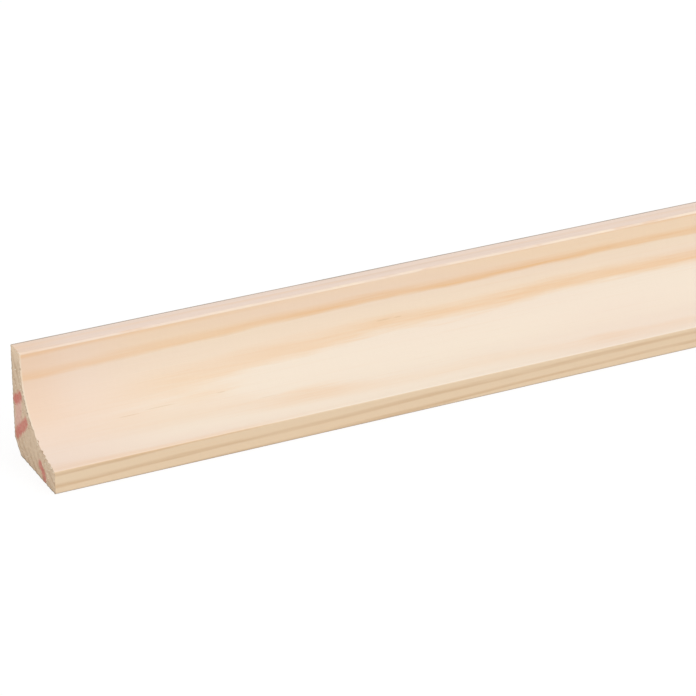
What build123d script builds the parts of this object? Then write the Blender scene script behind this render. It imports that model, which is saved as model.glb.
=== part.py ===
from build123d import *
import os

# Cove moulding: a stick of planed softwood with a quarter-round hollow along its front.
# Frame: +X along the stick, +Y towards the back face that goes against the wall, +Z up.
# The origin is on the bottom face, at the middle of the length and of the depth.

# Stick
length = 2400.0
height = 28.0
depth = 25.5

# Cove: a concave quarter round between the nose at the top and the lip at the front
cove_radius = 20.0
nose_thickness = 6.0
lip_height = 6.0

# Edges
heel_chamfer = 3.5  # flat planed off the corner where the back meets the bottom
arris_radius = 0.5  # easing of the long outer edges


def cove_cutter():
    """Outline of the cutter: a block past the front and the top, its inner corner rounded to the cove."""
    block = Rectangle(depth + cove_radius, height + cove_radius, align=(Align.MAX, Align.MIN))
    inner_corner = block.vertices().sort_by_distance((0, 0))[0]
    return fillet(inner_corner, cove_radius)


def section():
    """Cross-section, drawn with the front to the left, the back to the right and the bottom on Y = 0."""
    back = depth / 2
    blank = Rectangle(depth, height, align=(Align.CENTER, Align.MIN))
    profile = blank - Pos(back - nose_thickness, lip_height) * cove_cutter()
    heel = profile.vertices().sort_by_distance((back, 0))[0]
    profile = chamfer(heel, heel_chamfer)
    lip_arrises = profile.vertices().group_by(Axis.X)[0]
    nose_arrises = profile.vertices().group_by(Axis.Y)[-1]
    return fillet(lip_arrises + nose_arrises, arris_radius)


def cove_moulding():
    """The section carried along the whole stick, which is sawn square at both ends."""
    return extrude(Plane.YZ * section(), length / 2, both=True)


os.makedirs("parts", exist_ok=True)
export_step(cove_moulding(), "parts/cove_moulding.step")
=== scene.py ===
"""Cove moulding: dresses one stick of planed pine and sets it on a plain studio floor.

The stick is one closed surface, the moulding's section carried along its length, with rough-sawn ends.
Frame, in metres: +X along the stick, +Y towards the flat back face, +Z up from the bottom face.
"""

import math
from typing import NamedTuple

import bpy
import numpy as np
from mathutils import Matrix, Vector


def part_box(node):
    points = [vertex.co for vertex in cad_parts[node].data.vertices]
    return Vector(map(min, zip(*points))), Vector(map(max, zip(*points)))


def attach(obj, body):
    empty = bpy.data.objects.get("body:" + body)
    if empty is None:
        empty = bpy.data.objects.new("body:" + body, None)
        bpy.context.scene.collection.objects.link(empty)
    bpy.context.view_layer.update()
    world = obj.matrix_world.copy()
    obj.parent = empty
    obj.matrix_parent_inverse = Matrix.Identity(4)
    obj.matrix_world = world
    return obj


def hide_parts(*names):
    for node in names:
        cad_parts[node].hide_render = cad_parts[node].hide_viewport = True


bl_info = {
    "name": "Cove Moulding",
    "version": (1, 0, 0),
    "blender": (4, 5, 0),
    "location": "View3D > Sidebar > Moulding",
    "description": "A stick of planed pine cove moulding with rough-sawn ends",
    "category": "Object",
}

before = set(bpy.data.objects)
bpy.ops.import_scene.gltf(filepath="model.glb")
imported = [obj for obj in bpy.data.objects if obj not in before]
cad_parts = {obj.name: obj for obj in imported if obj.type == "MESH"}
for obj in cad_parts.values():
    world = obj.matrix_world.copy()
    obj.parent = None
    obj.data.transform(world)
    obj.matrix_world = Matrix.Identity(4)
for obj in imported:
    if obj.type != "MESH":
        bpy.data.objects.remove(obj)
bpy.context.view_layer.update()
low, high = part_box("cove_moulding")

MM = 0.001  # metres in a millimetre; the wood's figure and marks are worked out in millimetres


# Settings


def linear(red, green, blue):
    """A display colour of 0 to 255 as the linear colour that a shader takes."""
    share = np.array((red, green, blue)) / 255
    return tuple(np.where(share <= 0.04045, share / 12.92, ((share + 0.055) / 1.055) ** 2.4).tolist())


def size(name, default, description):
    """A length that a user would change, in metres."""
    return bpy.props.FloatProperty(
        name=name,
        description=description,
        default=default,
        min=0.0,
        precision=5,
        subtype="DISTANCE",
        unit="LENGTH",
    )


def colour(name, red, green, blue, description):
    """A colour that a user would change, given as it shows on a display."""
    return bpy.props.FloatVectorProperty(
        name=name,
        description=description,
        default=linear(red, green, blue),
        min=0.0,
        max=1.0,
        subtype="COLOR",
    )


def amount(name, default, description):
    """A plain number that a user would change."""
    return bpy.props.FloatProperty(name=name, description=description, default=default, min=0.0)


def turn(name, default, description):
    """An angle that a user would change, given in degrees."""
    return bpy.props.FloatProperty(
        name=name, description=description, default=math.radians(default), subtype="ANGLE", unit="ROTATION"
    )


def spot(name, default, description):
    """A place that a user would change, in metres."""
    return bpy.props.FloatVectorProperty(
        name=name, description=description, default=default, subtype="TRANSLATION", unit="LENGTH"
    )


class StickShape(bpy.types.PropertyGroup):
    """Sizes of the moulding's section and of its sawn ends."""

    cove_radius: size("Cove radius", 0.020, "Radius of the hollow along the front")
    nose_thickness: size("Nose thickness", 0.006, "Thickness of the edge above the hollow")
    lip_height: size("Lip height", 0.006, "Height of the edge below the hollow")
    heel_chamfer: size("Heel chamfer", 0.0035, "Flat between the back and the bottom")
    arris_radius: size("Arris radius", 0.0005, "Easing of the long outer edges")
    saw_recess: size("Saw recess", 0.00022, "How far the sawn face lies inside the end on average")
    saw_pitch: size("Saw pitch", 0.0011, "Distance from one saw mark to the next")
    fibre_count: bpy.props.IntProperty(
        name="Fibres", description="Torn fibres that stand on each sawn end", default=120, min=1
    )


class PineLook(bpy.types.PropertyGroup):
    """Colours of the wood and the place of its growth rings."""

    cream: colour("Cream", 241, 226, 207, "Pale earlywood of the younger rings")
    tan: colour("Tan", 243, 217, 187, "Earlywood of the older rings")
    pale: colour("Pale", 249, 237, 222, "Bleached wood along the foot of the cove")
    pink: colour("Pink", 238, 213, 198, "Rosy cast in patches")
    # a painted highlight, with some burnish, along the nose
    arris: colour("Arris", 253, 234, 208, "Burnished wood along the nose")
    lip: colour("Lip", 230, 205, 173, "Duller wood on the front of the lip")
    # used as well for painted shade along the lip's foot, and for the darker back arris and sawn edges
    grime_and_shade: colour("Grime", 150, 136, 120, "Handling marks along the outer edges")
    latewood: colour("Latewood", 234, 183, 122, "Dark edge of a growth ring")
    lip_latewood: colour("Lip latewood", 204, 168, 126, "Dark edge of a growth ring on the front of the lip")
    resin: colour("Resin", 196, 156, 92, "Resin canals, cut open as short dashes")
    end_grain: colour("End grain", 228, 204, 176, "Sawn end")
    end_shade: colour("End shade", 186, 154, 120, "Crushed fibres and ring edges on the sawn end")
    end_fleck: colour("End fleck", 243, 231, 210, "Torn fibres that catch the light")
    paint: colour("Paint", 208, 104, 98, "Smudges of red paint on the left end")
    stain: colour("Stain", 233, 184, 172, "Pink stain between the smudges")
    ring_width: size("Ring width", 0.00270, "Growth in the year of the first ring")
    pith_front: size("Pith front", 0.03926, "How far the pith lies in front of the middle, at the left end")
    pith_height: size("Pith height", 0.05472, "How high the pith lies above the bottom, at the left end")


class StudioLook(bpy.types.PropertyGroup):
    """Floor, light and camera."""

    floor: colour("Floor", 254, 254, 254, "Floor and background")
    floor_reach: size("Floor reach", 60.0, "Width of the floor")
    floor_glow: amount("Floor glow", 0.85, "Share of the floor that shows as plain background")
    background: amount("Background", 1.03, "Brightness of the plain background")
    fill: amount("Fill", 0.66, "Strength of the even light from all sides")
    key: amount("Key", 1.05, "Strength of the main light")
    key_softness: turn("Key softness", 70, "Spread of the main light")
    key_heading: turn("Key heading", 30, "Direction of the main light round the stick, from front to right")
    key_height: turn("Key height", 58, "Direction of the main light above the horizon")
    camera_place: spot("Camera place", (-1.43658, -0.63902, 0.36208), "Where the camera stands")
    camera_heading: turn("Camera heading", -26.533, "Turn of the camera round the vertical")
    camera_height: turn("Camera height", 25.947, "How steeply the camera looks down")
    camera_near: size("Camera near", 0.01, "Distance at which the camera starts to see")
    camera_lens: bpy.props.FloatProperty(
        name="Lens",
        description="Focal length in millimetres",
        default=168.62,
        min=1.0,
        subtype="DISTANCE_CAMERA",
    )


# Section


def arc(centre, radius, start, stop, count):
    """Points on a circle: centre + radius (cos a, sin a), with a from start towards stop, left out."""
    angle = np.radians(np.linspace(start, stop, count, endpoint=False))
    return np.asarray(centre) + radius * np.stack((np.cos(angle), np.sin(angle)), axis=1)


def run(start, stop, count):
    """Points on a line: start + share (stop - start), with the share from 0 towards 1, left out."""
    share = np.linspace(0.0, 1.0, count, endpoint=False)[:, None]
    return np.asarray(start) + share * (np.asarray(stop) - np.asarray(start))


class Section:
    """The moulding's outline in (y, z), as four sides that meet half way round the eased arrises."""

    arris_points = 3
    land_points = 4
    heel_points = 8
    edge_points = 42  # along the top, and along the front of the lip
    cove_points = 88  # down the land and round the cove, and as many along the back, the heel and the bottom

    def __init__(self, shape):
        self.back = high.y
        self.front = low.y
        self.top = high.z
        self.arris = shape.arris_radius
        self.heel = shape.heel_chamfer
        self.radius = shape.cove_radius
        self.lip_height = shape.lip_height
        self.land = self.back - shape.nose_thickness
        self.centre = (self.land - self.radius, self.lip_height + self.radius)
        reach = self.radius + self.arris
        lip_y = self.front + self.arris
        drop = math.sqrt(reach**2 - (lip_y - self.centre[0]) ** 2)
        self.lip = (lip_y, self.centre[1] - drop)
        self.sweep = math.degrees(math.atan2(drop, lip_y - self.centre[0]))
        self.lip_middle = 180 - self.sweep / 2
        self.nose = (self.land + self.arris, self.top - self.arris)
        self.crown = (self.back - self.arris, self.top - self.arris)
        self.foot = (lip_y, self.arris)

    def sides(self):
        """The hollow side, the lip side, the wall side and the top side."""
        return self.hollow_side(), self.lip_side(), self.wall_side(), self.top_side()

    def hollow_side(self):
        """From the nose down the land, round the cove and on to the lip."""
        return np.concatenate(
            (
                arc(self.nose, self.arris, 135, 180, self.arris_points),
                run((self.land, self.nose[1]), (self.land, self.centre[1]), self.land_points),
                arc(self.centre, self.radius, 0, -self.sweep, self.cove_points - self.land_points),
                arc(self.lip, self.arris, 180 - self.sweep, self.lip_middle, self.arris_points),
                arc(self.lip, self.arris, self.lip_middle, 180, 1),
            )
        )

    def lip_side(self):
        """From the lip's top arris down its front to its foot."""
        return np.concatenate(
            (
                arc(self.lip, self.arris, self.lip_middle, 180, self.arris_points),
                run((self.front, self.lip[1]), (self.front, self.arris), self.edge_points),
                arc(self.foot, self.arris, 180, 225, self.arris_points),
                arc(self.foot, self.arris, 225, 270, 1),
            )
        )

    def wall_side(self):
        """From the top's back arris down the back, over the heel and along the bottom to the lip's foot."""
        back_points = (self.cove_points - self.heel_points) // 2
        bottom_points = self.cove_points - self.heel_points - back_points
        return np.concatenate(
            (
                arc(self.crown, self.arris, 45, 0, self.arris_points),
                run((self.back, self.crown[1]), (self.back, self.heel), back_points),
                run((self.back, self.heel), (self.back - self.heel, 0), self.heel_points),
                run((self.back - self.heel, 0), (self.foot[0], 0), bottom_points),
                arc(self.foot, self.arris, 270, 225, self.arris_points),
                arc(self.foot, self.arris, 225, 180, 1),
            )
        )

    def top_side(self):
        """From the nose back over the top to its back arris."""
        return np.concatenate(
            (
                arc(self.nose, self.arris, 135, 90, self.arris_points),
                run((self.nose[0], self.top), (self.crown[0], self.top), self.edge_points),
                arc(self.crown, self.arris, 90, 45, self.arris_points),
                arc(self.crown, self.arris, 45, 0, 1),
            )
        )

    def cove_depth(self, place):
        """How deep (y, z) points lie behind the cove: their distance from its centre, less its radius."""
        return np.linalg.norm(place - np.asarray(self.centre), axis=-1) - self.radius


# Sawn faces

LEFT_SEED = 11
RIGHT_SEED = 57
RIPPLE_PITCHES = (0.7, 1.5)  # least and most pitch of a wave, as shares of the one asked for


def ripples(place, pitch, seed, waves=24):
    """Smooth noise of about -1 to 1 over (y, z) points: plane waves of about the given pitch, in random
    directions and phases, added and divided by the root of twice their number."""
    random = np.random.default_rng(seed)
    heading = random.uniform(0, 2 * np.pi, waves)
    pitches = pitch * random.uniform(*RIPPLE_PITCHES, waves)
    phase = random.uniform(0, 2 * np.pi, waves)
    wave = np.stack((np.cos(heading), np.sin(heading))) / pitches
    return np.cos(2 * np.pi * place @ wave + phase).sum(axis=-1) / math.sqrt(2 * waves)


class SawnFace:
    """The relief of a sawn end. Lengths are in metres, and each gain is a share of the mean recess."""

    blade = (-0.090, -0.160)  # axle of the round blade, in (y, z)
    arc_gain = 0.14
    fibre_gain = 0.24
    fine_pitch = 0.0006
    coarse_pitch = 0.0019
    coarse_share = 0.8  # of the fine fibres' height
    torn_gain = 2.0
    torn_pitch = 0.0011
    torn_reach = 0.0008  # how quickly the torn hollows and the burr fade with the distance from the cove
    torn_loss = 1.3  # by how much the burr lowers the torn hollows' gain
    burr_gain = 0.85
    burr_foot = 0.009  # height at which the burr sets in along the cove
    burr_rise = 0.006  # height over which it grows
    least, most = 0.1, 3.0

    def __init__(self, section, shape):
        self.section = section
        self.recess = shape.saw_recess
        self.pitch = shape.saw_pitch

    def depth(self, place, seed):
        """How far the face lies inside the stick's end at (y, z) points: an even depth, arcs left by the
        blade, fibre noise at two scales, torn hollows that fade with the distance from the cove, and a burr
        along its upper half that comes out to the end."""
        arcs = np.cos(2 * np.pi * np.linalg.norm(place - np.asarray(self.blade), axis=-1) / self.pitch)
        fine = ripples(place, self.fine_pitch, seed)
        coarse = ripples(place, self.coarse_pitch, seed + 1)
        fibres = fine + self.coarse_share * coarse
        fade = np.exp(-np.maximum(self.section.cove_depth(place), 0) / self.torn_reach)
        torn = np.maximum(ripples(place, self.torn_pitch, seed + 2), 0) * fade
        upper = np.clip((place[..., 1] - self.burr_foot) / self.burr_rise, 0, 1)
        even = 1 + self.arc_gain * arcs + self.fibre_gain * fibres
        rough = even + (self.torn_gain - self.torn_loss * upper) * torn - self.burr_gain * upper * fade
        return self.recess * np.clip(rough, self.least, self.most)


# Stick

END_STEPS = (0.0, 0.7, 1.4, 2.6, 4.5, 8.0)  # distances of the close stations from an end, in millimetres
EVEN_STATIONS = 61
RELIEF_FADE = 0.5 * MM  # how quickly the stations stop following the sawn face


def stations_along():
    """Places along X of the section's loops: even ones, with close ones at each end."""
    steps = np.array(END_STEPS) * MM
    even = np.linspace(low.x, high.x, EVEN_STATIONS)
    return np.concatenate((low.x + steps, even[1:-1], high.x - steps[::-1]))


def patch(first, last, start, stop):
    """A grid over four sides: the blend from first to last and the blend from start to stop, added, less
    the blend of the four corners. First and last run along the grid, start and stop across it."""
    along = np.linspace(0.0, 1.0, len(first))[:, None, None]
    across = np.linspace(0.0, 1.0, len(start))[None, :, None]
    between_long = (1 - across) * first[:, None] + across * last[:, None]
    between_short = (1 - along) * start[None] + along * stop[None]
    near = (1 - along) * first[0] + along * first[-1]
    far = (1 - along) * last[0] + along * last[-1]
    return between_long + between_short - (1 - across) * near - across * far


def stick_mesh(shape):
    """The stick's points, its four-cornered faces, their places on the bake map and their material.

    Stations along X carry the section's loop from one end to the other, and each end is a patch of the
    section's four sides that shares the loop's points. The stations at the ends follow the sawn faces."""
    section = Section(shape)
    sawn = SawnFace(section, shape)
    hollow, lip, wall, top = section.sides()
    loop = np.concatenate((hollow[:-1], lip[:-1], wall[:0:-1], top[:0:-1]))
    around = len(loop)
    stations = stations_along()
    rows = len(stations)

    at_left = np.exp(-(((stations - low.x) / RELIEF_FADE) ** 2))[:, None]
    at_right = np.exp(-(((high.x - stations) / RELIEF_FADE) ** 2))[:, None]
    x = stations[:, None] + at_left * sawn.depth(loop, LEFT_SEED) - at_right * sawn.depth(loop, RIGHT_SEED)
    body = np.concatenate((x[..., None], np.broadcast_to(loop, (rows, around, 2))), axis=-1)

    face = patch(hollow, wall, top, lip)
    inner = face[1:-1, 1:-1].reshape(-1, 2)
    left_inner = np.column_stack((low.x + sawn.depth(inner, LEFT_SEED), inner))
    right_inner = np.column_stack((high.x - sawn.depth(inner, RIGHT_SEED), inner))
    points = np.concatenate((body.reshape(-1, 3), left_inner, right_inner))

    long_faces = loop_faces(rows, around)
    left_faces = end_faces(face.shape, 0, rows * around)[:, ::-1]
    right_faces = end_faces(face.shape, (rows - 1) * around, rows * around + len(inner))
    faces = np.concatenate((long_faces, left_faces, right_faces))
    is_end = np.arange(len(faces)) >= len(long_faces)

    long_places = long_map(stations, loop)
    places = np.concatenate((long_places, end_map(points, left_faces, 0), end_map(points, right_faces, 1)))
    return points, faces, places, is_end.astype(np.int32)


def loop_faces(rows, around):
    """Faces between one loop of points and the next, all along the stick."""
    row, column = np.meshgrid(np.arange(rows - 1), np.arange(around), indexing="ij")
    here, beyond = row * around, (row + 1) * around
    following = (column + 1) % around
    corners = here + column, here + following, beyond + following, beyond + column
    return np.stack(corners, axis=-1).reshape(-1, 4)


def end_faces(shape, loop_start, inner_start):
    """Faces of one end's patch. Its border takes the loop's points in turn, its inside has its own."""
    along, across = shape[0] - 1, shape[1] - 1
    around = 2 * (along + across)
    number = np.empty((along + 1, across + 1), dtype=int)
    number[:, 0] = np.arange(along + 1)
    number[-1, :] = along + np.arange(across + 1)
    number[:, -1] = along + across + np.arange(along, -1, -1)
    number[0, :] = (2 * along + across + np.arange(across, -1, -1)) % around
    number += loop_start
    inside = np.arange((along - 1) * (across - 1)).reshape(along - 1, across - 1)
    number[1:-1, 1:-1] = inner_start + inside
    corners = number[:-1, :-1], number[1:, :-1], number[1:, 1:], number[:-1, 1:]
    return np.stack(corners, axis=-1).reshape(-1, 4)


# Bake map: the length is folded into strips, one above another, with the two ends in a row above them

BAKE_STRIPS = 3
BAKE_ROW = 1 / (BAKE_STRIPS + 1)
BAKE_MARGIN = 0.004


def long_map(stations, loop):
    """Places of the long faces on the bake map: along a strip, and round the section across it."""
    closed = np.concatenate((loop, loop[:1]))
    girth = np.concatenate(((0.0,), np.cumsum(np.linalg.norm(np.diff(closed, axis=0), axis=1))))
    share = (stations - stations[0]) / (stations[-1] - stations[0]) * BAKE_STRIPS
    strip = np.floor((share[:-1] + share[1:]) / 2)
    start = BAKE_MARGIN + (share[:-1] - strip) * (1 - 2 * BAKE_MARGIN)
    stop = BAKE_MARGIN + (share[1:] - strip) * (1 - 2 * BAKE_MARGIN)
    across = BAKE_MARGIN + girth / girth[-1] * (BAKE_ROW - 2 * BAKE_MARGIN)
    here = strip[:, None] * BAKE_ROW + across[None, :-1]
    beyond = strip[:, None] * BAKE_ROW + across[None, 1:]
    start = np.broadcast_to(start[:, None], here.shape)
    stop = np.broadcast_to(stop[:, None], here.shape)
    corners = (start, here), (start, beyond), (stop, beyond), (stop, here)
    return np.stack([np.stack(corner, axis=-1) for corner in corners], axis=2).reshape(-1, 4, 2)


def end_map(points, faces, slot):
    """Places of a sawn end on the bake map: its own (y, z), scaled to the map's last row."""
    scale = (BAKE_ROW - 2 * BAKE_MARGIN) / (high.z - low.z)
    corner = np.array((slot * BAKE_ROW + BAKE_MARGIN, BAKE_STRIPS * BAKE_ROW + BAKE_MARGIN))
    return corner + (points[faces][..., 1:] - (low.y, low.z)) * scale


# Torn fibres

FIBRE_SEED = 5
FIBRE_CROWDING = 2.5  # power by which the fibres crowd towards the cove
FIBRE_FIELD = (0.02, 0.96)  # shares of the way from the cove to the wall side between which they stand
FIBRE_ROOT = 0.1  # depth of a root below the sawn face, in millimetres
FIBRE_REACH = (0.3, 1.1)  # least and most distance of a tip from its root along the face, in millimetres
FIBRE_TIP = 0.4  # most that a tip stays inside the end, as a share of the face's own depth
FIBRE_GIRTH = (0.07, 0.2)  # least and most half thickness, in millimetres
FIBRE_MARGIN = 0.1  # distance of a tip from the stick's outer faces, in millimetres
NEEDLE_CORNERS = ((0, 3, 2), (0, 4, 3), (0, 5, 4), (0, 2, 5), (1, 2, 3), (1, 3, 4), (1, 4, 5), (1, 5, 2))
NEEDLE_UPRIGHT = (0.31, 0.52, 0.79)  # a direction off the needles' own, which their sides are square to


def fibre_mesh(shape):
    """Torn fibres on both sawn ends: stretched eight-sided needles, pointed at each end. A needle lies
    between a root in the sawn face and a tip that stands off it, and four points round its middle give it
    its thickness."""
    section = Section(shape)
    sawn = SawnFace(section, shape)
    random = np.random.default_rng(FIBRE_SEED)
    hollow, lip, wall, top = section.sides()
    count = shape.fibre_count
    margin = FIBRE_MARGIN * MM
    nearest, furthest = FIBRE_FIELD
    points = []
    for end, outward, seed in ((low.x, -1, LEFT_SEED), (high.x, 1, RIGHT_SEED)):
        along = random.uniform(0, 1, count) * (len(hollow) - 1)
        depth = random.uniform(0, 1, count) ** FIBRE_CROWDING
        near, far = at_steps(hollow, along), at_steps(wall, along)
        place = near + (nearest + (furthest - nearest) * depth)[:, None] * (far - near)
        buried = sawn.depth(place, seed)
        root = np.column_stack((end - outward * (buried + FIBRE_ROOT * MM), place))
        reach = random.uniform(*FIBRE_REACH, count) * MM
        heading = random.uniform(0, 2 * np.pi, count)
        slide = reach[:, None] * np.stack((np.cos(heading), np.sin(heading)), axis=1)
        tip_place = np.clip(place + slide, (low.y + margin, margin), (high.y - margin, high.z - margin))
        tip = np.column_stack((end - outward * random.uniform(0.0, FIBRE_TIP, count) * buried, tip_place))
        points.append(needles(root, tip, random.uniform(*FIBRE_GIRTH, count) * MM))
    points = np.clip(np.concatenate(points), low, high)
    needle, corners = points.shape[1], np.array(NEEDLE_CORNERS)
    faces = np.arange(len(points))[:, None, None] * needle + corners
    return points.reshape(-1, 3), faces.reshape(-1, 3)


def at_steps(side, along):
    """Points of a side at steps between its own points, on the straight line from one to the next."""
    step = np.arange(len(side))
    return np.stack([np.interp(along, step, side[:, axis]) for axis in (0, 1)], axis=1)


def needles(root, tip, thickness):
    """Six points for each needle: its root, its tip, and four round its middle, at right angles to it."""
    axis = tip - root
    axis = axis / np.linalg.norm(axis, axis=1, keepdims=True)
    side = np.cross(axis, np.broadcast_to(NEEDLE_UPRIGHT, axis.shape))
    side = side / np.linalg.norm(side, axis=1, keepdims=True) * thickness[:, None]
    rise = np.cross(axis, side)
    middle = (root + tip) / 2
    return np.stack((root, tip, middle - side, middle - rise, middle + side, middle + rise), axis=1)


def add_piece(name, points, faces, finishes):
    """Puts arrays of points and faces into a new mesh object at the origin."""
    mesh = bpy.data.meshes.new(name)
    mesh.from_pydata(points.tolist(), [], faces.tolist())
    for finish in finishes:
        mesh.materials.append(finish)
    piece = bpy.data.objects.new(name, mesh)
    bpy.context.scene.collection.objects.link(piece)
    return piece


# Shader nodes


class Wire:
    """A node's output. Arithmetic on it adds Math nodes."""

    def __init__(self, nodes, socket):
        self.nodes = nodes
        self.socket = socket

    def maths(self, operation, *others, first=None):
        """The result of a Math node, on this value and others, or on a first value and this one."""
        values = (self, *others) if first is None else (first, self)
        return self.nodes.add("ShaderNodeMath", {"operation": operation}, dict(enumerate(values)))

    def __add__(self, other):
        return self.maths("ADD", other)

    def __radd__(self, other):
        return self.maths("ADD", first=other)

    def __sub__(self, other):
        return self.maths("SUBTRACT", other)

    def __rsub__(self, other):
        return self.maths("SUBTRACT", first=other)

    def __mul__(self, other):
        return self.maths("MULTIPLY", other)

    def __rmul__(self, other):
        return self.maths("MULTIPLY", first=other)

    def __truediv__(self, other):
        return self.maths("DIVIDE", other)

    def __rtruediv__(self, other):
        return self.maths("DIVIDE", first=other)


class Nodes:
    """A node tree that is filled by calls."""

    def __init__(self, tree):
        self.tree = tree
        tree.nodes.clear()

    def add(self, kind, settings=None, sockets=None, output=0):
        """Adds a node, with its settings first and then its sockets' values or links. Gives one output."""
        node = self.tree.nodes.new(kind)
        for name, value in (settings or {}).items():
            setattr(node, name, value)
        for name, value in (sockets or {}).items():
            if isinstance(value, Wire):
                self.tree.links.new(value.socket, node.inputs[name])
            else:
                node.inputs[name].default_value = value
        return Wire(self, node.outputs[output]) if node.outputs else node

    def step(self, value, start, stop):
        """0 before start and 1 after stop, eased between them. It falls where start is the larger."""
        limits = {"Value": value, "From Min": start, "From Max": stop}
        return self.add("ShaderNodeMapRange", {"interpolation_type": "SMOOTHSTEP"}, limits)

    def mix(self, share, first, second):
        """A colour between two others, by a share of 0 to 1."""
        colours = [shade if isinstance(shade, Wire) else (*shade, 1.0) for shade in (first, second)]
        return self.add("ShaderNodeMix", {"data_type": "RGBA"}, {0: share, 6: colours[0], 7: colours[1]}, 2)

    def layers(self, base, *coats):
        """Colours laid over a base in turn, each by its own share of 0 to 1."""
        for share, shade in coats:
            base = self.mix(share, base, shade)
        return base


def new_nodes(name):
    """A new material and its empty node tree."""
    material = bpy.data.materials.new(name)
    material.use_nodes = True
    return material, Nodes(material.node_tree)


def shader_out(nodes, sockets):
    """Ends a material with one surface shader."""
    surface = nodes.add("ShaderNodeBsdfPrincipled", {}, sockets)
    nodes.add("ShaderNodeOutputMaterial", {}, {"Surface": surface})


# Growth rings

NOISE_MIDDLE = 0.5
NOISE_SPREAD = 4.0  # widens the noise, most of which lies near its middle, to about -1 to 1


class StickPlace:
    """Where a point of the surface lies, in millimetres: its x, y and z, and its distance along from the
    left end."""

    def __init__(self, nodes):
        self.nodes = nodes
        local = nodes.add("ShaderNodeTexCoord", {}, {}, "Object")
        self.place = nodes.add("ShaderNodeVectorMath", {"operation": "SCALE"}, {0: local, "Scale": 1 / MM})
        axes = [nodes.add("ShaderNodeSeparateXYZ", {}, {0: self.place}, axis) for axis in "XYZ"]
        self.x, self.y, self.z = axes
        self.along = self.x - low.x / MM

    def stretched(self, length, thickness):
        """The place, counted in lengths along the stick and in thicknesses across it."""
        scale = (1 / length, 1 / thickness, 1 / thickness)
        return self.nodes.add("ShaderNodeVectorMath", {"operation": "MULTIPLY"}, {0: self.place, 1: scale})

    def grain(self, length, thickness, detail=2.0, roughness=0.5):
        """Noise of about -1 to 1, with grains of a length along the stick and a thickness across it."""
        place = self.stretched(length, thickness)
        sockets = {"Vector": place, "Scale": 1.0, "Detail": detail, "Roughness": roughness}
        return (self.nodes.add("ShaderNodeTexNoise", {}, sockets) - NOISE_MIDDLE) * NOISE_SPREAD

    def bell(self, middle, half):
        """1 at a place along the stick, fading to either side as a bell curve."""
        offset = (self.along - middle) / half
        return (offset * offset * -1.0).maths("EXPONENT")


class Trend(NamedTuple):
    """A value that changes along the stick, in millimetres: a base, rises that stay and peaks that pass."""

    base: float = 0.0
    rises: tuple = ()  # each a gain, and where it starts and is complete
    peaks: tuple = ()  # each a gain, its middle and its half width
    heights: tuple = ()  # where it starts and is complete up or down the stick, if not all over


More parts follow.
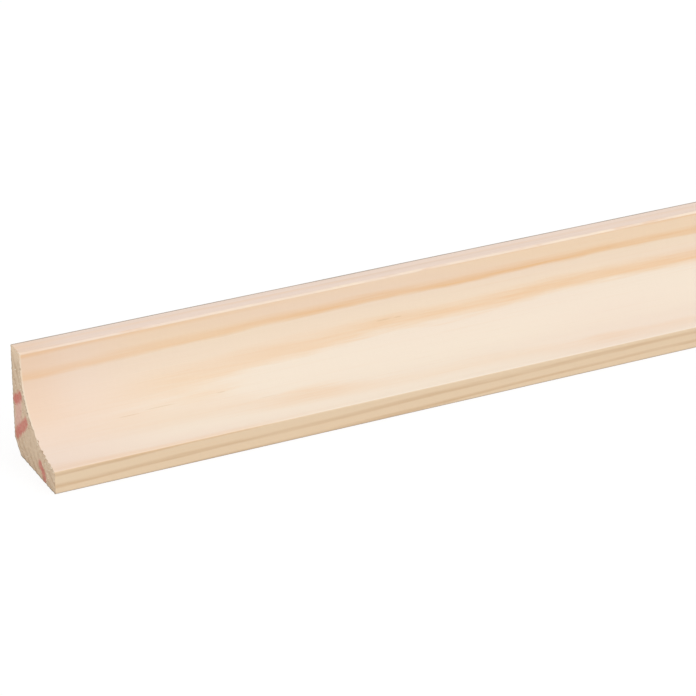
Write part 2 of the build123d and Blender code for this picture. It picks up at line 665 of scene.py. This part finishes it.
class PineFigure(StickPlace):
    """The growth rings through the whole stick, so that the long faces and the ends agree.

    Rings are circles round a pith that lies in front of the stick and above it and leans as it goes along.
    They get narrower outwards. A ring's wood is pale where the year starts, darkens towards its end and
    pales again there. A pair of values gives where something starts and where it is complete."""

    lean_reach = 1500.0  # how far along the stick the pith goes on leaning away
    lean_back = 0.0113  # how far it leans to the back with each millimetre
    lean_up = 0.0165
    first_ring = 56.6  # distance from the pith of the ring edge that the others are counted from
    narrowing = 0.005  # how quickly the rings get narrower with each millimetre outwards
    edge_season = 0.91  # time of year at which the dark wood is half gone again
    darkening = (0.42, 0.80)  # times of year
    paling = (1.0, 0.82)
    dark_share = 0.8  # how dark the dark wood is on average, and what comes and goes in patches and streaks
    dark_patches = 0.28
    dark_streaks = 0.22
    early = 0.2  # part of a year by which the later rings come early, past a place along the stick
    early_years = (1.2, 1.7)
    early_stretch = (95.0, 125.0)

    swellings = (  # how far the rings are pushed out
        Trend(rises=((0.29, -12.0, 28.0),), peaks=((-0.08, 43.0, 9.0),)),
        Trend(rises=((0.32, 46.0, 63.0),), heights=(4.5, 6.0)),
        Trend(rises=((0.32, 50.0, 135.0),), heights=(6.0, 4.5)),
        Trend(rises=((-0.07, 70.0, 85.0),), heights=(19.0, 22.0)),
        Trend(peaks=((0.1, 45.0, 24.0),), heights=(9.5, 8.0)),
    )
    wave_gain = 0.08
    wave_length = 55.0
    wave_crest = 95.0
    wave_calm = (150.0, 14.0)  # middle and half width of a stretch without the wave
    drift_gain = 0.6
    drift_stretch = (190.0, 330.0)
    wander = (  # each a gain, and its grains' length, thickness, detail and roughness
        (0.04, 70.0, 7.0, 1.0, 0.5),
        (0.10, 20.0, 1.3, 1.0, 0.5),
        (0.09, 9.0, 0.5, 2.0, 0.6),
    )

    full_strength = 0.72
    rim_strength = (Trend(0.57, rises=((0.37, 55.0, 75.0),), peaks=((0.25, 172.0, 14.0),)),)
    flank_strength = (
        Trend(0.1, rises=((0.38, 15.0, 45.0), (0.44, 60.0, 130.0))),
        Trend(peaks=((0.14, 90.0, 8.0), (-0.15, 115.0, 9.0))),
    )
    heart_strength = (
        Trend(0.21, peaks=((0.26, 72.0, 12.0), (0.2, 151.0, 6.0))),
        Trend(peaks=((0.3, 42.0, 12.0),), heights=(9.0, 10.5)),
    )
    flank_heights = (20.0, 17.0)
    heart_heights = (14.5, 11.0)
    top_loss = 0.7
    lip_loss = 0.1
    top_depths = (0.7, 0.0)  # below the top
    nose_depths = (0.55, 0.3)  # below the top
    lip_reach = (0.23, 0.03)  # behind the front
    cove_reach = (2.25, 1.25)  # behind the land
    foot_heights = (-2.5, -1.5)  # above the lip

    def __init__(self, nodes, section, pine):
        super().__init__(nodes)
        self.below_top = section.top / MM - self.z
        self.above_lip = self.z - section.lip_height / MM
        self.behind_front = self.y - section.front / MM
        self.behind_land = self.y - section.land / MM
        self.before_back = section.back / MM - self.y
        age = self.radius(pine) - self.first_ring
        count = age * (1 + age * self.narrowing) / (pine.ring_width / MM) + (self.edge_season - 1)
        early = nodes.step(count, *self.early_years) * nodes.step(self.along, *self.early_stretch)
        self.count = count + self.early * early
        self.year = self.count.maths("FLOOR")
        self.season = self.count.maths("FRACT")
        self.on_top = nodes.step(self.below_top, *self.top_depths)
        self.on_lip = nodes.step(self.behind_front, *self.lip_reach)
        self.above_foot = nodes.step(self.above_lip, *self.foot_heights)
        self.latewood = self.dark_season() * self.strength()

    def value(self, trend):
        """A trend's value at this place."""
        value = trend.base
        for gain, start, stop in trend.rises:
            value = value + gain * self.nodes.step(self.along, start, stop)
        for gain, middle, half in trend.peaks:
            value = value + gain * self.bell(middle, half)
        return value * self.nodes.step(self.z, *trend.heights) if trend.heights else value

    def follow(self, trends):
        """The sum of some trends at this place."""
        return sum(self.value(trend) for trend in trends)

    def radius(self, pine):
        """Distance from the pith, with the swellings and the wandering that the rings follow."""
        lean = (self.along / self.lean_reach).maths("SINE") * self.lean_reach
        aside = self.y - (lean * self.lean_back - pine.pith_front / MM)
        below = self.z - (lean * self.lean_up + pine.pith_height / MM)
        distance = (aside * aside + below * below).maths("SQRT")
        return distance + self.follow(self.swellings) + self.wandering()

    def wandering(self):
        """How far the rings stray: an even wave, a slow drift well past the left end, and fine noise."""
        turns = (self.along - self.wave_crest) * (2 * math.pi / self.wave_length)
        wave = turns.maths("COSINE") * (1 - self.bell(*self.wave_calm))
        drift = self.grain(240.0, 14.0, 1.0) * self.nodes.step(self.along, *self.drift_stretch)
        fine = sum(gain * self.grain(*grains) for gain, *grains in self.wander)
        return wave * self.wave_gain + drift * self.drift_gain + fine

    def dark_season(self):
        """How dark the wood is for the time of year, in patches and streaks along the grain."""
        dark = self.nodes.step(self.season, *self.darkening) * self.nodes.step(self.season, *self.paling)
        broken = self.dark_share + self.dark_patches * self.grain(40.0, 3.0, 1.0)
        return dark * (broken + self.dark_streaks * self.grain(12.0, 0.45))

    def strength(self):
        """How clearly the rings show: fully on the back and the bottom, by trends of their own on the cove's
        rim, its flank and its heart, which they only graze, a little less on the lip, faintly on the top,
        and not on the eased nose."""
        step = self.nodes.step
        ahead = step(self.behind_land, *self.cove_reach)
        rim, flank, heart = map(self.follow, (self.rim_strength, self.flank_strength, self.heart_strength))
        inside = rim + (flank - rim) * step(self.z, *self.flank_heights)
        inside = inside + (heart - inside) * step(self.z, *self.heart_heights)
        in_cove = ahead * (1 - self.on_lip) * self.above_foot
        on_nose = ahead * step(self.below_top, *self.nose_depths)
        full = self.full_strength * (1 - in_cove * (1 - inside))
        return full * (1 - on_nose) * (1 - self.top_loss * self.on_top) * (1 - self.lip_loss * self.on_lip)


# Planed faces

# Resin canals that show on the cove: distance along from the left end, y, z and half length, in millimetres
RESIN_DASHES = (
    (24.0, -1.25, 10.00, 3.2),
    (32.0, -0.85, 10.30, 4.6),
    (48.2, -0.60, 10.50, 1.4),
    (94.6, 4.85, 17.48, 2.4),
    (98.6, 4.85, 17.46, 1.4),
)
RESIN_WIDTH = 0.14  # half width of a dash, in millimetres
RESIN_EDGE = (1.0, 0.3)  # where a dash starts and is complete, in squares of its half sizes
RESIN_CELLS = (60.0, 3.4)  # length and thickness of the cells that hold one scattered dash each
RESIN_CORE = (0.05, 0.02)  # where a scattered dash starts and is complete, in cells from its middle
RESIN_SCATTERED = 0.6  # how strong a scattered dash is beside a listed one


def resin(nodes, figure):
    """Short dark dashes: thin ellipsoids at the listed places, and scattered ones in stretched cells."""
    cells = {"Vector": figure.stretched(*RESIN_CELLS), "Scale": 1.0}
    middle = nodes.add("ShaderNodeTexVoronoi", {}, cells, "Distance")
    dashes = nodes.step(middle, *RESIN_CORE) * RESIN_SCATTERED
    for along, y, z, half in RESIN_DASHES:
        ahead = (figure.along - along) / half
        aside = (figure.y - y) / RESIN_WIDTH
        above = (figure.z - z) / RESIN_WIDTH
        dash = nodes.step(ahead * ahead + aside * aside + above * above, *RESIN_EDGE)
        dashes = dashes.maths("MAXIMUM", dash)
    return dashes


class PlanedMarks:
    """Marks on the planed long faces, among them a painted highlight and painted shade. Each method gives
    the share that a colour takes there, from 0 to 1.

    Lengths are in millimetres, heights from the bottom and stretches from the left end if no comment says
    otherwise. A pair of values gives where a mark starts and where it is complete."""

    older_years = (1.02, 0.02)  # ring counts below which the wood is older, by half each time
    older_blend = 0.22  # part of a year in which it turns older
    older_low = 0.05  # what is left of that at the lower of the heights
    older_heights = (7.0, 17.0)
    chance_years = (1.0, 2.0)
    chance_share = 0.6
    bleached_share = 0.35
    bleached_heights = (2.0, 0.3)  # above the lip
    rosy_share = 0.4
    rosy_noise = (-0.5, 1.2)
    rosy_left_share = 0.6
    rosy_left_stretch = (45.0, 0.0)
    rosy_top_share = 0.75
    left_darkening_share = 0.2
    left_darkening_stretch = (16.0, 1.0)
    left_darkening_heights = (9.0, 15.0)
    nose_depths = (0.5, 0.25)  # below the top
    nose_reach = (0.75, 0.45)  # behind the land
    nose_highlight_share = 0.15
    nose_highlight_gain = 0.2  # what the painted highlight gains over its stretch
    nose_highlight_stretch = (30.0, 90.0)
    nose_highlight_breaks = 1.2
    nose_gap_share = 0.3
    nose_gap_noise = (0.0, -0.9)
    warm_share = 0.16
    warm_stretch = (95.0, 40.0)
    warm_nose_foot = (1.7, 1.0)  # below the top
    warm_nose_head = (0.4, 0.7)  # below the top
    warm_lip_share = 0.75  # of the line above the lip beside the line under the nose
    warm_lip_reach = (1.95, 0.55)  # behind the front
    warm_lip_heights = (-0.6, -0.2)  # above the lip
    fray_highlight_share = 0.5
    fray_highlight_heights = (9.0, 12.0)
    fray_highlight_stretch = (0.6, 0.25)  # from the nearer saw cut
    fray_highlight_reach = (0.75, 0.15)  # behind the land
    dusty_share = 0.1
    dusty_noise = (-0.3, 1.2)
    dark_arris_share = 0.78
    dark_arris_breaks = 0.25
    dark_arris_reach = (0.95, 0.65)  # before the back
    dark_arris_depths = (0.26, 0.05)  # below the top
    # painted shade along the lip's foot arris, which faces down towards the floor
    foot_shade_share = 0.6
    foot_heights = (0.55, 0.2)
    foot_shade_reach = (0.75, 0.35)  # behind the front

    def __init__(self, nodes, figure):
        self.nodes = nodes
        self.figure = figure
        self.breaks = figure.grain(9.0, 2.0)
        self.ahead = nodes.step(figure.behind_land, *self.nose_reach)
        self.on_nose = nodes.step(figure.below_top, *self.nose_depths) * self.ahead

    def older_wood(self):
        """Rings before the count's first two years, most of all high up, and later years by chance."""
        nodes, figure = self.nodes, self.figure
        older = 0.0
        for year in self.older_years:
            older = older + nodes.step(figure.count, year, year - self.older_blend) / len(self.older_years)
        height = self.older_low + (1 - self.older_low) * nodes.step(figure.z, *self.older_heights)
        settings = {"noise_dimensions": "1D"}
        scatter = nodes.add("ShaderNodeTexWhiteNoise", settings, {"W": figure.year}, "Value")
        chance = nodes.step(figure.year, *self.chance_years) * scatter * self.chance_share
        return (older * height * (1 - figure.on_top)).maths("MAXIMUM", chance)

    def bleached(self):
        """The foot of the cove."""
        low_down = self.nodes.step(self.figure.above_lip, *self.bleached_heights)
        return low_down * self.figure.above_foot * self.bleached_share

    def rosy(self):
        """Broad patches, the left end and the top, but not the lip."""
        nodes, figure = self.nodes, self.figure
        patches = nodes.step(figure.grain(90.0, 9.0, 1.0), *self.rosy_noise) * self.rosy_share
        left = nodes.step(figure.along, *self.rosy_left_stretch) * self.rosy_left_share
        rosy = patches.maths("MAXIMUM", left).maths("MAXIMUM", figure.on_top * self.rosy_top_share)
        return rosy * (1 - figure.on_lip)

    def darker_by_left_end(self):
        """Darker over the upper half beside the left end."""
        left = self.nodes.step(self.figure.along, *self.left_darkening_stretch)
        return left * self.nodes.step(self.figure.z, *self.left_darkening_heights) * self.left_darkening_share

    def painted_nose_highlight(self):
        """Painted highlight on the eased nose, with some burnish, in stretches, more so away from the left
        end.
        """
        gain = self.nodes.step(self.figure.along, *self.nose_highlight_stretch)
        share = self.nose_highlight_share + self.nose_highlight_gain * gain
        return self.on_nose * share * (1 + self.nose_highlight_breaks * self.breaks)

    def nose_highlight_gaps(self):
        """Darker stretches on the eased nose between those of the painted highlight, which break the
        highlight up.
        """
        return self.on_nose * self.nodes.step(self.breaks, *self.nose_gap_noise) * self.nose_gap_share

    def warm(self):
        """Lines under the nose and above the lip, which end some way along the stick."""
        figure, step = self.figure, self.nodes.step
        band = step(figure.below_top, *self.warm_nose_foot) * step(figure.below_top, *self.warm_nose_head)
        under_nose = band * self.ahead
        near_lip = step(figure.behind_front, *self.warm_lip_reach)
        above_lip = near_lip * step(figure.above_lip, *self.warm_lip_heights)
        lines = under_nose.maths("MAXIMUM", above_lip * self.warm_lip_share)
        return lines * step(figure.along, *self.warm_stretch) * self.warm_share

    def frayed_edge_highlight(self):
        """Frayed fibres and a painted highlight along the cove's edge at both saw cuts, above its heart."""
        figure, step = self.figure, self.nodes.step
        cut = step(high.x / MM - figure.x.maths("ABSOLUTE"), *self.fray_highlight_stretch)
        ahead = step(figure.behind_land, *self.fray_highlight_reach)
        return cut * step(figure.z, *self.fray_highlight_heights) * ahead * self.fray_highlight_share

    def dusty(self):
        """The top, in streaks."""
        streaks = self.nodes.step(self.figure.grain(60.0, 0.9), *self.dusty_noise)
        return streaks * self.figure.on_top * self.dusty_share

    def dark_arris_and_foot_shade(self):
        """Darker along the back arris of the top, unevenly, and painted shade along the foot of the lip."""
        figure, step = self.figure, self.nodes.step
        uneven = self.dark_arris_share + self.dark_arris_breaks * figure.grain(22.0, 2.0)
        at_back = step(figure.before_back, *self.dark_arris_reach)
        arris = at_back * step(figure.below_top, *self.dark_arris_depths) * uneven
        foot = step(figure.z, *self.foot_heights) * step(figure.behind_front, *self.foot_shade_reach)
        return arris.maths("MAXIMUM", foot * self.foot_shade_share)


PLANER_PITCH = 1.7  # distance from one cut of the planer to the next, in millimetres
RING_RELIEF = 0.02  # heights in millimetres, here and below
STREAK_RELIEF = 0.008
PLANER_RELIEF = 0.0012
RESIN_RELIEF = -0.01
DARK_STREAKS = 0.16
DARK_STREAK_NOISE = (0.1, 1.6)  # noise at which a streak starts and is complete
PALE_STREAKS = 0.18
PALE_STREAK_NOISE = (-0.1, -1.6)
RESIN_SHARE = 0.24
PLANED_SHEEN = 0.5
PLANED_ROUGHNESS = 0.5
RING_ROUGHNESS = -0.1  # what the dark wood and the streaks add to it
STREAK_ROUGHNESS = 0.03


def planed_pine(pine, section):
    """Planed long faces: ring figure, rosy patches, fine streaks, a painted highlight on the nose and at the
    frayed saw cuts, darker edges with painted shade along the lip's foot, resin dashes and the planer's
    faint ripple."""
    material, nodes = new_nodes("planed_pine")
    figure = PineFigure(nodes, section, pine)
    marks = PlanedMarks(nodes, figure)
    streaks = figure.grain(38.0, 0.32, 3.0, 0.6)
    dashes = resin(nodes, figure)
    wood = nodes.layers(
        pine.cream,
        (marks.older_wood(), pine.tan),
        (marks.bleached(), pine.pale),
        (figure.on_lip, pine.lip),
        (marks.rosy(), pine.pink),
        (figure.latewood, nodes.mix(figure.on_lip, pine.latewood, pine.lip_latewood)),
        (nodes.step(streaks, *DARK_STREAK_NOISE) * DARK_STREAKS, pine.latewood),
        (nodes.step(streaks, *PALE_STREAK_NOISE) * PALE_STREAKS, pine.cream),
        (marks.darker_by_left_end(), pine.latewood),
        # painted highlight on the nose, and darker gaps in it
        (marks.painted_nose_highlight(), pine.arris),
        (marks.nose_highlight_gaps(), pine.latewood),
        (marks.warm(), pine.latewood),
        # frayed fibres and a painted highlight where the cove meets the saw cuts
        (marks.frayed_edge_highlight(), pine.end_fleck),
        (marks.dusty(), pine.grime_and_shade),
        # darker back arris, and painted shade along the lip's foot
        (marks.dark_arris_and_foot_shade(), pine.grime_and_shade),
        (dashes * RESIN_SHARE, pine.resin),
    )
    ripple = (figure.along * (2 * math.pi / PLANER_PITCH)).maths("SINE")
    height = figure.latewood * RING_RELIEF + streaks * STREAK_RELIEF + ripple * PLANER_RELIEF
    height = height + dashes * RESIN_RELIEF
    normal = nodes.add("ShaderNodeBump", {}, {"Strength": 1.0, "Distance": MM, "Height": height})
    sockets = {
        "Base Color": wood,
        "Roughness": PLANED_ROUGHNESS + RING_ROUGHNESS * figure.latewood + STREAK_ROUGHNESS * streaks,
        "Specular IOR Level": PLANED_SHEEN,
        "Normal": normal,
    }
    shader_out(nodes, sockets)
    return material


# Sawn ends

# Smudges of paint on the left end: strokes from one (y, z) to another, with a half width, in millimetres
PAINT_SMUDGES = (
    ((7.9, 16.3), (11.6, 14.0), 1.35),
    ((4.7, 10.8), (11.4, 4.8), 1.35),
    ((-3.6, 3.7), (-6.0, 1.3), 1.25),
)
PAINT_STAIN = ((9.0, 14.0), (10.2, 8.4), 2.0)  # a stroke between the two upper smudges
PAINT_REACH = (3.0, 2.0)  # distances from the left end at which the paint starts and is complete
PAINT_SHARE = 0.7
PAINT_WORN = 0.25  # how much of that comes and goes in specks
STAIN_SHARE = 0.7
STROKE_EDGE = (1.35, 0.45)  # where a stroke starts and is complete, in half widths from its line
STROKE_RAGGED = 0.5  # how far noise moves that edge, in millimetres


def stroke(nodes, place, line, ragged):
    """1 near the line from one (y, z) to another, and 0 past its half width and its ragged edge."""
    (start_y, start_z), (stop_y, stop_z), half = line
    run_y, run_z = stop_y - start_y, stop_z - start_z
    ahead_y, ahead_z = place.y - start_y, place.z - start_z
    share = (ahead_y * run_y + ahead_z * run_z) / (run_y**2 + run_z**2)
    share = share.maths("MINIMUM", 1.0).maths("MAXIMUM", 0.0)
    off_y, off_z = ahead_y - share * run_y, ahead_z - share * run_z
    distance = (off_y * off_y + off_z * off_z).maths("SQRT")
    edge_start, edge_stop = STROKE_EDGE
    return nodes.step(distance + ragged, half * edge_start, half * edge_stop)


def painted(nodes, place, pine, wood):
    """Wood with a pink stain and rubbed red smudges over it, on the left end alone."""
    on_left = nodes.step(place.along, *PAINT_REACH)
    ragged = place.grain(1.6, 1.6, 3.0, 0.7) * STROKE_RAGGED
    specks = place.grain(0.4, 0.4, 2.0, 0.6)
    stain = stroke(nodes, place, PAINT_STAIN, ragged)
    coat = 0.0
    for line in PAINT_SMUDGES:
        coat = stroke(nodes, place, line, ragged).maths("MAXIMUM", coat)
    return nodes.layers(
        wood,
        (stain * on_left * STAIN_SHARE, pine.stain),
        (coat * (PAINT_SHARE - specks * PAINT_WORN) * on_left, pine.paint),
    )


END_EDGE_DARKENING = 0.65
END_EDGE_UNEVEN = (0.85, 0.35)  # what is left of it on average, and how much that comes and goes
BACK_DARKENING = (0.7, 0.1)  # distances from an edge at which its darkening starts and is complete, in millimetres
HEEL_DARKENING = (0.9, 0.0)
BOTTOM_DARKENING = (0.6, 0.1)
COVE_DARKENING = (1.15, 0.5)
COVE_DARKENING_FOOT = (10.0, 13.0)  # heights at which the darkening along the cove sets in, and those where it ends
COVE_DARKENING_HEAD = (20.0, 16.0)


def darkened_end_edges(nodes, figure, section):
    """Darker along a sawn end's back, heel and bottom edges and the middle of its cove edge."""
    step = nodes.step
    heel_line = (section.back - section.heel) / MM
    back = step(figure.before_back, *BACK_DARKENING)
    heel = step(heel_line - (figure.y - figure.z), *HEEL_DARKENING)
    bottom = step(figure.z, *BOTTOM_DARKENING)
    aside, below = figure.y - section.centre[0] / MM, figure.z - section.centre[1] / MM
    depth = (aside * aside + below * below).maths("SQRT") - section.radius / MM
    middle = step(figure.z, *COVE_DARKENING_FOOT) * step(figure.z, *COVE_DARKENING_HEAD)
    cove = step(depth, *COVE_DARKENING) * middle
    edges = back.maths("MAXIMUM", heel).maths("MAXIMUM", bottom).maths("MAXIMUM", cove)
    average, change = END_EDGE_UNEVEN
    return edges * END_EDGE_DARKENING * (average + change * figure.grain(2.0, 1.2))


END_RINGS = 0.7  # shares of the shade that the rings and the mottle take on an end
END_MOTTLE = 0.45
MOTTLE_NOISE = (-0.6, 1.6)  # noise at which the mottle starts and is complete; likewise for flecks and pits
END_TOP = 0.85  # how tan the end is under the top
END_TOP_DEPTHS = (4.5, 1.0)  # depths at which that starts and is complete, in millimetres
PALE_FLECKS = 0.85
PALE_FLECK_NOISE = (0.4, 1.0)
DARK_PITS = 0.65
DARK_PIT_NOISE = (-0.4, -1.1)
END_RELIEF = 0.05  # height of the flecks, and of the mottle, in millimetres
END_BUMP = 0.8
SAWN_SHEEN = 0.2
SAWN_ROUGHNESS = 0.86
FLECK_ROUGHNESS = 0.04  # what the flecks add to it


def sawn_pine(pine, section):
    """Sawn ends: the same rings, dulled, with crushed dark patches, pale torn flecks, pits, darker outer
    edges and smudged paint."""
    material, nodes = new_nodes("sawn_pine")
    figure = PineFigure(nodes, section, pine)
    mottle = figure.grain(4.0, 1.7)
    fleck = figure.grain(1.5, 0.7, 3.0, 0.65)
    wood = nodes.layers(
        pine.end_grain,
        (nodes.step(mottle, *MOTTLE_NOISE) * END_MOTTLE + figure.latewood * END_RINGS, pine.end_shade),
        (nodes.step(figure.below_top, *END_TOP_DEPTHS) * END_TOP, pine.tan),
        (nodes.step(fleck, *PALE_FLECK_NOISE) * PALE_FLECKS, pine.end_fleck),
        (nodes.step(fleck, *DARK_PIT_NOISE) * DARK_PITS, pine.end_shade),
        (darkened_end_edges(nodes, figure, section), pine.grime_and_shade),
    )
    height = (fleck + mottle) * END_RELIEF
    normal = nodes.add("ShaderNodeBump", {}, {"Strength": END_BUMP, "Distance": MM, "Height": height})
    sockets = {
        "Base Color": painted(nodes, figure, pine, wood),
        "Roughness": SAWN_ROUGHNESS + FLECK_ROUGHNESS * fleck,
        "Specular IOR Level": SAWN_SHEEN,
        "Normal": normal,
    }
    shader_out(nodes, sockets)
    return material


FIBRE_CAST = (-0.8, 1.4)  # noise at which a fibre's darker cast starts and is complete
FIBRE_ROUGHNESS = 0.8


def torn_fibre(pine):
    """Loose fibres: pale, with a darker cast here and there, and with the paint that the left end has."""
    material, nodes = new_nodes("torn_fibre")
    place = StickPlace(nodes)
    cast = nodes.step(place.grain(2.0, 1.2, 1.0), *FIBRE_CAST)
    wood = painted(nodes, place, pine, nodes.mix(cast, pine.end_fleck, pine.end_grain))
    shader_out(nodes, {"Base Color": wood, "Roughness": FIBRE_ROUGHNESS, "Specular IOR Level": SAWN_SHEEN})
    return material


# Stage

WHITE = (1.0, 1.0, 1.0, 1.0)


def in_view(nodes):
    """1 where the camera sees the stage, straight, mirrored or through glass, and 0 for its light."""
    seen = 0.0
    for ray in ("Is Camera Ray", "Is Glossy Ray", "Is Transmission Ray"):
        seen = nodes.add("ShaderNodeLightPath", {}, {}, ray).maths("MAXIMUM", seen)
    return seen


def lay_floor(studio):
    """A white floor that shows as the background, with the stick's soft shadow left on it."""
    material, nodes = new_nodes("floor")
    matt = nodes.add("ShaderNodeBsdfDiffuse", {}, {"Color": (*studio.floor, 1.0)})
    glow = nodes.add("ShaderNodeEmission", {}, {"Color": WHITE, "Strength": studio.background})
    shown = nodes.add("ShaderNodeMixShader", {}, {0: in_view(nodes) * studio.floor_glow, 1: matt, 2: glow})
    nodes.add("ShaderNodeOutputMaterial", {}, {"Surface": shown})
    half = studio.floor_reach / 2
    corners = np.array(((-half, -half, 0.0), (half, -half, 0.0), (half, half, 0.0), (-half, half, 0.0)))
    add_piece("floor", corners, np.array(((0, 1, 2, 3),)), (material,))


def light_studio(scene, studio):
    """An even white surround, and one broad light from the front, the right and above."""
    world = bpy.data.worlds.new("surround")
    world.use_nodes = True
    scene.world = world
    nodes = Nodes(world.node_tree)
    strength = studio.fill + (1 - studio.fill) * in_view(nodes)
    surround = nodes.add("ShaderNodeBackground", {}, {"Color": WHITE, "Strength": strength})
    nodes.add("ShaderNodeOutputWorld", {}, {"Surface": surround})
    key = bpy.data.lights.new("key", "SUN")
    key.energy = studio.key
    key.angle = studio.key_softness
    lamp = bpy.data.objects.new("key", key)
    lamp.rotation_euler = (math.pi / 2 - studio.key_height, 0, studio.key_heading)
    scene.collection.objects.link(lamp)


def place_camera(scene, studio):
    """The camera at the photograph's angle, turned about the vertical and then tipped down."""
    camera = bpy.data.objects.new("camera", bpy.data.cameras.new("camera"))
    camera.data.lens = studio.camera_lens
    camera.data.clip_start = studio.camera_near
    camera.location = studio.camera_place
    camera.rotation_euler = (math.pi / 2 - studio.camera_height, 0, studio.camera_heading)
    scene.collection.objects.link(camera)
    scene.camera = camera


# Operators and panel

SHARP_EDGE = math.radians(32)  # a turn between faces past which their edge is drawn sharp


class MakeStick(bpy.types.Operator):
    """Makes the stick of planed pine, which stands for the plain solid"""

    bl_idname = "cove_moulding.make_stick"
    bl_label = "Make stick"

    def execute(self, context):
        shape, pine = context.scene.stick_shape, context.scene.pine_look
        section = Section(shape)
        points, faces, places, finish = stick_mesh(shape)
        finishes = (planed_pine(pine, section), sawn_pine(pine, section))
        stick = add_piece("moulding_stick", points, faces, finishes)
        stick.data.polygons.foreach_set("material_index", finish)
        stick.data.shade_smooth()
        stick.data.set_sharp_from_angle(angle=SHARP_EDGE)
        bake_map = stick.data.uv_layers.new(name="OFBake")
        bake_map.uv.foreach_set("vector", places.astype(np.float32).ravel())
        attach(stick, "root")
        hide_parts("cove_moulding")
        return {"FINISHED"}


class MakeFibres(bpy.types.Operator):
    """Makes the torn fibres that stand on the sawn ends"""

    bl_idname = "cove_moulding.make_fibres"
    bl_label = "Make torn fibres"

    def execute(self, context):
        shape, pine = context.scene.stick_shape, context.scene.pine_look
        points, faces = fibre_mesh(shape)
        fibres = add_piece("torn_fibres", points, faces, (torn_fibre(pine),))
        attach(fibres, "root")
        return {"FINISHED"}


class SetStage(bpy.types.Operator):
    """Sets the floor, the light and the camera"""

    bl_idname = "cove_moulding.set_stage"
    bl_label = "Set stage"

    def execute(self, context):
        studio = context.scene.studio_look
        context.scene.view_settings.view_transform = "Standard"
        lay_floor(studio)
        light_studio(context.scene, studio)
        place_camera(context.scene, studio)
        return {"FINISHED"}


class MouldingPanel(bpy.types.Panel):
    """Lists the moulding's pieces and their settings"""

    bl_idname = "VIEW3D_PT_cove_moulding"
    bl_label = "Cove Moulding"
    bl_space_type = "VIEW_3D"
    bl_region_type = "UI"
    bl_category = "Moulding"

    def draw(self, context):
        for operator in OPERATORS:
            self.layout.operator(operator.bl_idname)
        for group in (context.scene.stick_shape, context.scene.pine_look, context.scene.studio_look):
            box = self.layout.box()
            for name in group.__annotations__:
                box.prop(group, name)


OPERATORS = (MakeStick, MakeFibres, SetStage)
CLASSES = (StickShape, PineLook, StudioLook, *OPERATORS, MouldingPanel)


def register():
    for made in CLASSES:
        bpy.utils.register_class(made)
    bpy.types.Scene.stick_shape = bpy.props.PointerProperty(type=StickShape)
    bpy.types.Scene.pine_look = bpy.props.PointerProperty(type=PineLook)
    bpy.types.Scene.studio_look = bpy.props.PointerProperty(type=StudioLook)


def unregister():
    del bpy.types.Scene.studio_look
    del bpy.types.Scene.pine_look
    del bpy.types.Scene.stick_shape
    for made in reversed(CLASSES):
        bpy.utils.unregister_class(made)


def main():
    register()
    bpy.ops.cove_moulding.make_stick()
    bpy.ops.cove_moulding.make_fibres()
    bpy.ops.cove_moulding.set_stage()


if __name__ == "__main__":
    main()
